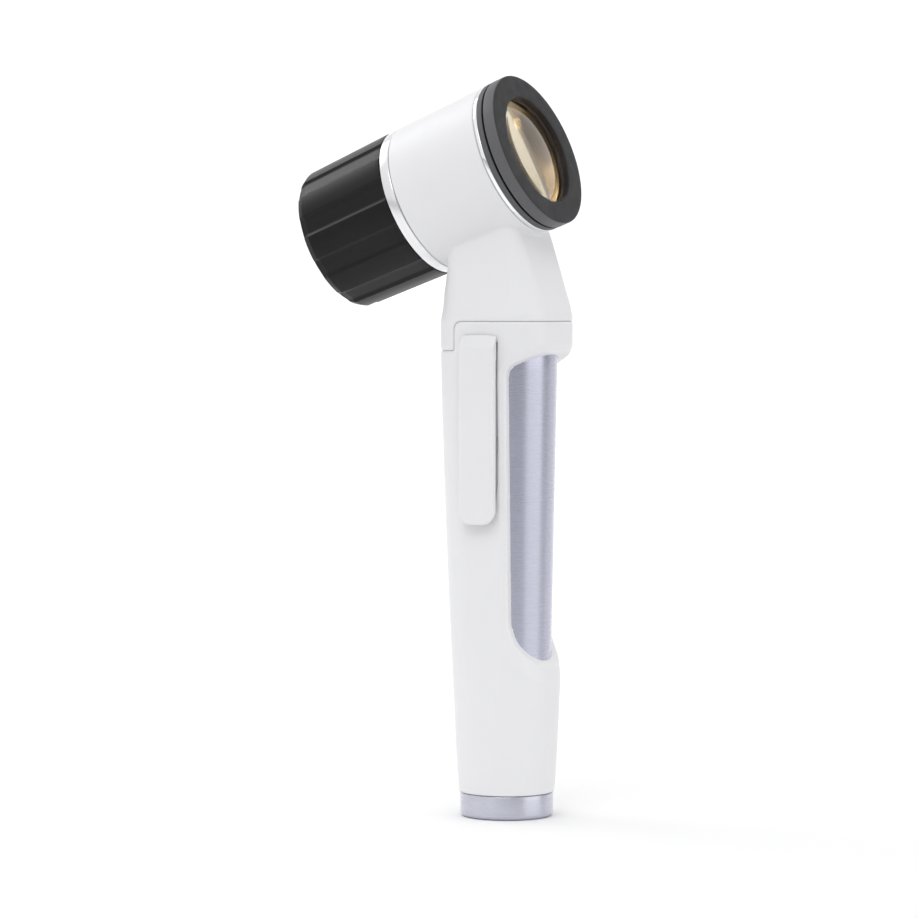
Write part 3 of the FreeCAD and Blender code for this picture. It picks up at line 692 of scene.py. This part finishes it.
steel = turned("spring_steel", (0.52, 0.52, 0.54), (0.44, 0.44, 0.46), 0.22, 0.34, pitch=3000.0)
brass = turned("plated_brass", (0.80, 0.60, 0.28), (0.70, 0.52, 0.24), 0.2, 0.34, pitch=5000.0)
grey_plastic = moulded("grey_moulded", (0.115, 0.12, 0.13), (0.14, 0.145, 0.155), 0.4, 0.52)
rubber = moulded("seal_rubber", (0.016, 0.016, 0.016), (0.024, 0.024, 0.024), 0.55, 0.7, grain=1800.0, grain_depth=0.00001)
lead_mat = moulded("lead_insulation", (0.30, 0.02, 0.02), (0.36, 0.03, 0.025), 0.4, 0.5)
film = moulded("amber_film", (0.30, 0.13, 0.02), (0.36, 0.17, 0.03), 0.2, 0.3)
chip_mat = moulded("chip_black", (0.016, 0.016, 0.018), (0.022, 0.022, 0.024), 0.45, 0.6)

board_mat = Mat("solder_mask")
board_mat.base(board_mat.mixcol(board_mat.rng(board_mat.noise(1500.0, 0.0), 0.47, 0.53, 0, 1), (0.015, 0.09, 0.035), (0.02, 0.13, 0.05)))
board_mat.rough(board_mat.rng(board_mat.noise(900.0, 2.0), 0.3, 0.7, 0.25, 0.4))

lamp_board = Mat("white_lamp_board")
lamp_board.base(lamp_board.mixcol(lamp_board.rng(lamp_board.noise(700.0, 2.0), 0.35, 0.65, 0, 1), (0.050, 0.044, 0.040), (0.085, 0.075, 0.067)))
lamp_board.rough(lamp_board.rng(lamp_board.noise(900.0, 2.0), 0.3, 0.7, 0.35, 0.5))

# cell jacket: plain blue sleeve, faintly banded along its height
cell_mat = Mat("cell_jacket")
z_co = cell_mat.along((0, 0, 1))
saw = cell_mat.n("ShaderNodeMath", operation="PINGPONG")
cell_mat.base(cell_mat.mixcol(cell_mat.rng(cell_mat.lines((0, 0, 1), 160.0), 0.45, 0.55, 0, 1), (0.03, 0.10, 0.16), (0.04, 0.14, 0.22)))
cell_mat.set(Metallic=0.5)
cell_mat.rough(cell_mat.rng(cell_mat.noise(300.0, 2.0), 0.3, 0.7, 0.22, 0.34))
cell_mat.t.nodes.remove(saw)

CARRY = {
    "battery_sleeve": grey_plastic, "contact_carrier": grey_plastic, "head_plug": grey_plastic,
    "battery_lower": cell_mat, "battery_upper": cell_mat,
    "top_contact": brass, "handle_contact_pin": brass, "negative_contact_ring": brass, "head_contact": brass,
    "negative_spring": steel, "cap_contact": steel, "clip_pin": steel, "clip_spring": steel, "cap_spring": steel,
    "switch_dome": steel, "ring_screws": steel, "switch_flex": film, "driver_board": board_mat,
    "board_parts": chip_mat, "led_board": lamp_board, "leds": lamp, "led_leads": lead_mat,
    "objective_lens": glass, "objective_retainer": inner_black, "focus_seal": rubber, "cap_seal": rubber,
    "barrel_seal": rubber, "glass_retainer": inner_black,
}
for node, mt in CARRY.items():
    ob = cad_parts[node]
    ob.data.materials.clear()
    ob.data.materials.append(mt.m)

# ------------------------------------------------------------------ pieces
# handle tube: open at the window, so its outside carries the look
TZ0, TZ1 = 5.9, 111.5
lathe("tube_body", [(8.9, TZ0, 0.15), (tube_r(TZ0), TZ0, 0.3), (tube_r(TZ1), TZ1, 0.2), (tube_r(TZ1) - 1.2, TZ1, 0.1),
                    (tube_r(14.0) - 1.2, 14.0, 0.1), (8.9, 13.0, 0.1)],
      tube_mat.m, "handle", head=False, seg=224, longest=4.0, replaces=["handle_tube"], slot="brushed_aluminium")

# end cap: softly rounded lower rim, threaded spigot, seal groove
thread = []
z = 7.5
while z < 11.2:
    thread += [(8.80, z, 0.05), (8.80, z + 0.42, 0.05), (8.45, z + 0.62, 0.05), (8.45, z + 0.88, 0.05)]
    z += 1.08
lathe("cap_body", [(0.0, 0.0), (11.25, 0.0, 1.25), (11.25, 5.8, 0.22), (8.80, 5.8, 0.1), (8.80, 6.1, 0.05), (7.95, 6.15, 0.08),
                   (7.95, 7.15, 0.08), (8.80, 7.25, 0.05)] + thread + [(8.5, 11.9, 0.15), (7.5, 11.9, 0.15), (7.5, 2.3, 0.3), (0.0, 2.3)],
      cap_mat.m, "cap", head=False, seg=224, closed=False, longest=2.5, replaces=["end_cap"], slot="brushed_aluminium")

# white shell and head body
H_SHELL = 0.32
H_HEAD = 0.32
H_CLIP = 0.22
p, f, nr = surface_net(sd_handle_shell, (-15.6, -15.8, 5.0), (15.6, 14.2, 120.6), H_SHELL)
make_mesh("shell_body", p, f, white.m, "handle", normals=nr, replaces=["handle_shell"], slot="white_plastic")
p, f, nr = surface_net(sd_head_body_local, (-48.8, -19.8, -30.0), (19.8, 19.8, 5.0), H_HEAD, to_world=head_pts, vec_world=head_vec)
make_mesh("head_shell", p, f, white.m, "head", normals=nr, replaces=["head_body"], slot="white_plastic")


# pocket clip: crowned blade with a ramped top, hollow at the hinge, with a grip nub
CX0, CX1, CZ0, CZ1, CRZ = -5.15, 4.1, 70.9, 117.1, 112.6
CYI, CYO = -14.0, -15.6


def sd_clip(x, y, z):
    cx, hx = (CX0 + CX1) / 2, (CX1 - CX0) / 2
    # outline seen from the side: rounded lower corners, square top
    r = 3.4
    qx = np.abs(x - cx) - (hx - r)
    qz = (CZ0 + r) - z
    low = np.hypot(np.maximum(qx, 0), np.maximum(qz, 0)) + np.minimum(np.maximum(qx, qz), 0) - r
    out = np.where(z < CZ0 + r + 4, low, np.abs(x - cx) - hx)
    # outer face, lightly crowned across, ramped towards the top
    crown = 0.16 * ((x - cx) / hx) ** 2
    face = (CYO + crown) - y
    ramp = ((CYO + crown) + (z - 113.4) * (2.5 / 3.3) - y) * 0.82
    outer = smax(face, ramp, 0.35)
    rim = np.clip((np.abs(x - cx) - (hx - 1.25)) / 0.45, 0, 1) * 0.50 * np.clip((z - 72.6) / 1.5, 0, 1)
    inner = y - (CYI + np.maximum(np.clip((z - 109.1) / 1.4, 0, 1) * 0.72, rim))
    d = smax(outer, out, 0.75 - 0.45 * np.clip((z - 112.5) / 2.0, 0, 1))
    d = smax(d, inner, 0.3)
    d = smax(d, z - CZ1, 0.25)
    d = smax(d, CZ0 - z, 0.5)
    room = np.maximum(np.hypot(y + 14.1, z - 112.2) - 1.07, np.abs(x) - 2.8)
    room = np.minimum(room, sd_box(x, y, z, -2.8, 2.8, -14.1, -12.0, 111.0, 113.4))
    d = smax(d, -room, 0.1)
    pin = np.maximum(np.hypot(y + 14.1, z - 112.2) - 0.5, np.abs(x) - 3.8)
    d = np.maximum(d, -pin)
    nub = np.hypot(y + 14.2, z - 74.6) - 1.35
    nub = smax(nub, np.abs(x + 0.5) - 2.5, 0.4)
    nub = np.maximum(nub, -14.6 - y)
    d = smin(d, nub, 0.4)
    boss = np.maximum(np.hypot(x + 0.6, z - 92.0) - (1.5 + (y + 14.0) * -0.44), np.maximum(-14.5 - y, y + 13.1))
    d = smin(d, boss, 0.2)
    return d


p, f, nr = surface_net(sd_clip, (-5.9, -16.2, 70.2), (4.9, -12.2, 117.8), H_CLIP)
make_mesh("clip_blade", p, f, white.m, "clip", normals=nr, replaces=["pocket_clip"], slot="white_plastic")

# aluminium ring and the nose that takes the barrel
lathe("mount_ring_body", [(14.4, -20.9, 0.1), (18.5, -20.9, 0.22), (18.5, -23.45, 0.22), (15.7, -23.45, 0.1), (15.7, -25.2, 0.1), (14.8, -25.3, 0.1),
                          (14.8, -26.3, 0.1), (15.7, -26.4, 0.1), (15.7, -27.2, 0.05), (15.45, -27.5, 0.05), (15.45, -28.0, 0.05), (15.7, -28.3, 0.05),
                          (15.7, -29.0, 0.05), (15.45, -29.3, 0.05), (15.45, -29.8, 0.05), (15.7, -30.1, 0.05), (15.7, -31.5, 0.3), (14.4, -31.5, 0.2)],
      ring_mat.m, "head", seg=224, longest=2.0, replaces=["barrel_mount_ring"], slot="ring_aluminium")
lathe("trim_ring_body", [(17.3, 4.22, 0.05), (18.98, 4.22, 0.2), (18.98, 5.2, 0.12), (17.3, 5.2, 0.05)],
      trim_mat.m, "head", seg=224, longest=1.0, replaces=["trim_ring"], slot="polished_trim")
lathe("base_ring_body", [(15.95, -4.1, 0.1), (17.1, -4.1, 0.1), (17.1, 4.22, 0.0), (17.25, 4.22, 0.0), (17.25, 5.2, 0.0), (19.0, 5.2, 0.14),
                         (19.0, 6.62, 0.16), (15.95, 6.62, 0.1)],
      black_ring.m, "head", seg=224, longest=2.0, replaces=["eyepiece_base_ring"], slot="black_ring")
lathe("focus_ring_body", [(13.49, 8.6, 0.05), (13.49, 10.06, 0.22), (19.05, 10.06, 0.28), (19.05, 7.08, 0.16), (15.86, 7.08, 0.1), (15.86, 4.2, 0.05), (15.15, 4.1, 0.05),
                          (15.15, 3.1, 0.05), (15.86, 3.0, 0.05), (15.86, -1.3, 0.2), (14.65, -1.3, 0.1), (14.65, 8.0, 0.05), (14.2, 8.6, 0.05)],
      black_ring.m, "focus", seg=256, longest=1.5, replaces=["focus_ring"], slot="black_ring")

# eyepiece optics
RE, LS0, LS1, RB, RF = 14.1, 3.25, 7.45, 150.0, 40.0


def cap_points(r_edge, s_edge, radius, sign, n):
    h = radius - math.sqrt(radius * radius - r_edge * r_edge)
    out = []
    for i in range(n + 1):
        r = r_edge * (1 - i / n)
        out.append((max(r, 0.0), s_edge + sign * (h - (radius - math.sqrt(radius * radius - r * r))), 0.0))
    return out


def lens_profile(r_edge, s0, s1, rb, rf, n=26):
    front = cap_points(r_edge, s1, rf, 1, n)          # edge to centre
    back = cap_points(r_edge, s0, rb, -1, n)[::-1]    # centre to edge
    return back + [(r_edge, s0, 0.0)] * 0 + front


lathe("eyepiece_lens_body", lens_profile(RE, LS0, LS1, RB, RF), glass.m, "lens_carriage", seg=192, closed=False, longest=0.8, sharp=25,
      replaces=["eyepiece_lens"], slot="optical_glass")
lathe("lens_cell_body", [(14.1, 3.25, 0.0), (14.6, 3.25, 0.1), (14.6, 8.0, 0.1), (14.15, 8.5, 0.1), (13.49, 8.5, 0.05), (13.3, 8.4, 0.06), (13.3, 7.95, 0.05), (14.1, 7.53, 0.0)],
      inner_black.m, "lens_carriage", seg=192, longest=1.2, replaces=["lens_cell"], slot="inner_black")
lathe("lens_retainer_body", [(13.2, -0.1, 0.15), (14.6, -0.1, 0.15), (14.6, 3.25, 0.05), (14.1, 3.25, 0.0), (13.2, 2.9, 0.1)],
      inner_black.m, "lens_carriage", seg=192, longest=1.2, replaces=["lens_retainer"], slot="inner_black")
lathe("optical_tube_body", [(11.9, -20.6, 0.0), (11.9, -21.6, 0.1), (11.2, -21.6, 0.1), (11.2, -17.4, 0.0), (10.6, -17.4, 0.1), (10.6, -16.6, 0.2), (11.4, -13.0, 1.0),
                            (12.9, -6.2, 0.4), (12.9, -5.0, 0.1), (17.15, -5.0, 0.1), (17.15, -6.4, 0.2), (14.4, -6.4, 0.5), (13.2, -13.0, 0.5),
                            (13.2, -15.9, 0.2), (15.7, -15.9, 0.2), (15.7, -19.5, 0.1), (11.9, -19.5, 0.0)],
      reflector.m, "head", seg=160, longest=1.5, replaces=["optical_tube"], slot="inner_black")

# contact barrel: ten lands and ten shallow channels
LAND_HALF = 9.0
FLUTE = [(0.0, -0.70), (3.0, -0.685), (5.2, -0.64), (6.3, -0.56), (7.4, -0.36), (8.3, -0.15), (8.75, -0.045), (9.0, -0.012), (9.3, 0.0), (18.0, 0.0)]
FA = [a for a, _ in FLUTE]
FD = [b for _, b in FLUTE]
offs = [0, 1.0, 2.0, 3.0, 4.0, 4.8, 5.4, 5.9, 6.3, 6.8, 7.3, 7.8, 8.2, 8.5, 8.75, 8.9, 9.05, 9.2, 9.5, 10.5, 12.0, 13.5, 15.0, 16.5]
ths = []
for i in range(10):
    c = 81.0 - 36.0 * i
    ths += [c + o for o in offs] + [c - o for o in offs[1:]] + [c + 18.0]
ths = sorted(set(round(t % 360.0, 4) for t in ths))
ths = np.radians(ths)


def barrel_radial(r, t, s):
    if r < 16.4 or s > -23.6 and r < 18.0:
        return r, s
    d = abs(((math.degrees(t) - 81.0 + 18.0) % 36.0) - 18.0)
    k = np.interp(d, FA, FD)
    fade = min(1.0, max(0.0, (s + 49.0) / 1.6)) ** 0.5
    return r + k * fade, s


lathe("barrel_body", [(15.8, -23.57, 0.1), (18.54, -23.57, 0.22), (17.85, -47.2, 1.4), (16.9, -49.0, 0.9), (15.3, -49.0, 0.25), (15.3, -45.6, 0.05), (14.2, -45.6, 0.1),
                      (14.2, -44.4, 0.1), (15.0, -43.6, 0.1), (15.0, -33.6, 0.1), (15.8, -32.8, 0.1)],
      barrel_mat.m, "barrel", seg=10, thetas=ths, longest=1.6, radial=barrel_radial, sharp=50, replaces=["contact_barrel"], slot="black_barrel")
lathe("contact_glass_body", [(0.0, -48.0), (15.2, -48.0, 0.15), (15.2, -45.6, 0.15), (0.0, -45.6)], plate_glass.m, "glass_carriage", seg=160, closed=False, longest=3.0,
      replaces=["contact_glass"], slot="optical_glass")

# ------------------------------------------------------------------ stage, light and camera
def cyclorama():
    """White floor that curves up into a backdrop, far from the object."""
    pts = []
    r = 0.9
    y0 = 1.6
    for i in range(25):
        pts.append((-2.2 + (y0 - r + 2.2) * i / 24, 0.0))
    for i in range(1, 25):
        a = math.pi / 2 * i / 24
        pts.append((y0 - r + r * math.sin(a), r - r * math.cos(a)))
    for i in range(1, 9):
        pts.append((y0, r + 1.8 * i / 8))
    xs = np.linspace(-3.0, 3.0, 13)
    ca, sa = math.cos(math.radians(28.2)), math.sin(math.radians(28.2))
    verts, faces = [], []
    for (d, z) in pts:
        for x in xs:
            # depth runs along the viewing direction
            verts.append((x * ca - d * sa, x * sa + d * ca, z))
    nx = len(xs)
    for i in range(len(pts) - 1):
        for j in range(nx - 1):
            a = i * nx + j
            faces.append((a, a + 1, a + nx + 1, a + nx))
    me = bpy.data.meshes.new("stage_sweep")
    me.from_pydata(verts, [], faces)
    me.polygons.foreach_set("use_smooth", [True] * len(me.polygons))
    ob = bpy.data.objects.new("stage_sweep", me)
    bpy.context.scene.collection.objects.link(ob)
    m = Mat("stage_paper")
    # white paper that turns grey towards the camera: painted shade standing in for the dim open front, darkening
    # bounce light and reflections on the object
    grey = m.n("ShaderNodeMapRange", interpolation_type="SMOOTHSTEP")
    grey.inputs["From Min"].default_value = 0.165
    grey.inputs["From Max"].default_value = 0.60
    m.link(m.along((0.4721, -0.8815, 0.0)), grey.inputs["Value"])
    paper = m.mixcol(m.rng(m.noise(3.0, 2.0), 0.3, 0.7, 0, 1), (0.925, 0.925, 0.925), (0.935, 0.935, 0.935))
    both = m.n("ShaderNodeMix", data_type="RGBA")
    m.link(grey.outputs[0], both.inputs["Factor"])
    m.link(paper, both.inputs[6])
    # painted shade: mid grey on the paper towards the camera
    both.inputs[7].default_value = (0.50, 0.50, 0.51, 1)
    m.base(both.outputs[2])
    m.set(Roughness=0.9)
    me.materials.append(m.m)
    ob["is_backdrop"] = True
    return ob


cyclorama()

scene = bpy.context.scene
world = bpy.data.worlds.new("studio")
scene.world = world
world.use_nodes = True
wt = world.node_tree
bg = wt.nodes["Background"]
# light tent: broad white walls, dimmer in front where the tent is open, and dimmer seams at the sides
FWD_H = Vector((-0.4721, 0.8815, 0.0))
RIGHT_H = Vector((0.8815, 0.4721, 0.0))


def wnode(kind, **kw):
    nd = wt.nodes.new(kind)
    for key, v in kw.items():
        setattr(nd, key, v)
    return nd


wco = wnode("ShaderNodeTexCoord").outputs["Generated"]


def wdot(vec):
    nd = wnode("ShaderNodeVectorMath", operation="DOT_PRODUCT")
    wt.links.new(wco, nd.inputs[0])
    nd.inputs[1].default_value = tuple(vec)
    return nd.outputs["Value"]


def wmath(op, a_, b_=None):
    nd = wnode("ShaderNodeMath", operation=op)
    for i_, v in enumerate((a_, b_)):
        if v is None:
            continue
        if isinstance(v, (int, float)):
            nd.inputs[i_].default_value = v
        else:
            wt.links.new(v, nd.inputs[i_])
    return nd.outputs[0]


def ramp(fac, stops):
    nd = wnode("ShaderNodeValToRGB")
    cr = nd.color_ramp
    cr.interpolation = "EASE"
    while len(cr.elements) > 1:
        cr.elements.remove(cr.elements[0])
    for i_, (pos, col) in enumerate(stops):
        e_ = cr.elements[0] if i_ == 0 else cr.elements.new(pos)
        e_.position = pos
        e_.color = (*col, 1)
    wt.links.new(fac, nd.inputs[0])
    return nd.outputs[0]


ang = wmath("ADD", wmath("DIVIDE", wmath("ARCTAN2", wdot(RIGHT_H), wdot(-FWD_H)), 2.0 * math.pi), 0.5)


def lum(v, blue=1.0):
    v = v / WALL_GAIN
    return (v, v * (1 + (blue - 1) * 0.15), v * blue)


# azimuth in degrees from the open front, positive to the right
WALL_GAIN = 2.0
WALLS = [(-180, lum(1.00)), (-138, lum(0.90)), (-112, lum(0.68)), (-84, lum(0.88)), (-60, lum(0.88)), (-40, lum(0.98)), (-22, lum(0.52, 1.08)), (-6, lum(0.37, 1.08)),
         (18, lum(0.35, 1.08)), (36, lum(0.44, 1.06)), (54, lum(1.72)), (82, lum(1.72)), (98, lum(0.40, 1.04)), (124, lum(0.38, 1.04)), (140, lum(1.20)),
         (180, lum(1.00))]
walls = ramp(ang, [(0.5 + az / 360.0, c_) for az, c_ in WALLS])
height = wmath("ABSOLUTE", wdot((0, 0, 1)))
hr = wnode("ShaderNodeMapRange", interpolation_type="SMOOTHSTEP")
hr.inputs["From Min"].default_value = 0.24
hr.inputs["From Max"].default_value = 0.55
wt.links.new(height, hr.inputs["Value"])
mx = wnode("ShaderNodeMix", data_type="RGBA")
wt.links.new(hr.outputs[0], mx.inputs["Factor"])
wt.links.new(walls, mx.inputs[6])
mx.inputs[7].default_value = (*lum(0.93), 1)
wt.links.new(mx.outputs[2], bg.inputs[0])
bg.inputs[1].default_value = WALL_GAIN


def area(name, loc, target, size, size_y, power, color=(1, 1, 1)):
    ld = bpy.data.lights.new(name, "AREA")
    ld.shape = "RECTANGLE"
    ld.size = size
    ld.size_y = size_y
    ld.energy = power
    ld.color = color
    ob = bpy.data.objects.new(name, ld)
    bpy.context.scene.collection.objects.link(ob)
    ob.location = loc
    d = Vector(target) - Vector(loc)
    ob.rotation_euler = d.to_track_quat("-Z", "Y").to_euler()
    return ob


RIGHT = Vector((0.88154, 0.47211, 0.0))
FWD = Vector((-0.47166, 0.88070, -0.04362))
MID = Vector((-0.005, 0.0, 0.10))
area("rim", MID - RIGHT * 0.65 + FWD * 0.45 + Vector((0, 0, 0.63)), MID, 0.55, 0.34, 1.3)
area("front", MID - RIGHT * 0.21 - FWD * 0.80 + Vector((0, 0, 0.74)), MID, 0.8, 0.5, 2.75)
area("wall", MID + FWD * 0.5 + Vector((0, 0, 0.9)), MID + FWD * 1.5 + Vector((0, 0, 0.25)), 0.8, 0.3, 3.5)

cam_data = bpy.data.cameras.new("camera")
cam_data.sensor_width = 36.0
cam_data.sensor_fit = "HORIZONTAL"
cam_data.lens = 3796.0 / 918.0 * 36.0
cam_data.clip_start = 0.05
cam_data.clip_end = 20.0
cam = bpy.data.objects.new("camera", cam_data)
scene.collection.objects.link(cam)
UPV = RIGHT.cross(FWD)
rot = Matrix((RIGHT, UPV, -FWD)).transposed()
cam.matrix_world = Matrix.Translation((0.4213, -0.8111, 0.1261)) @ rot.to_4x4()
scene.camera = cam
scene.view_settings.view_transform = "Standard"
scene.view_settings.look = "None"
scene.view_settings.exposure = 0.0
scene.view_settings.gamma = 1.0

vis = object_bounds()


def plain(b):
    return [[float(c) for c in corner] for corner in b] if not isinstance(b, dict) else {k: [float(c) for c in v] if hasattr(v, "__len__") else float(v) for k, v in b.items()}


{"cad": plain(CAD_BOX), "visual": plain(vis)}
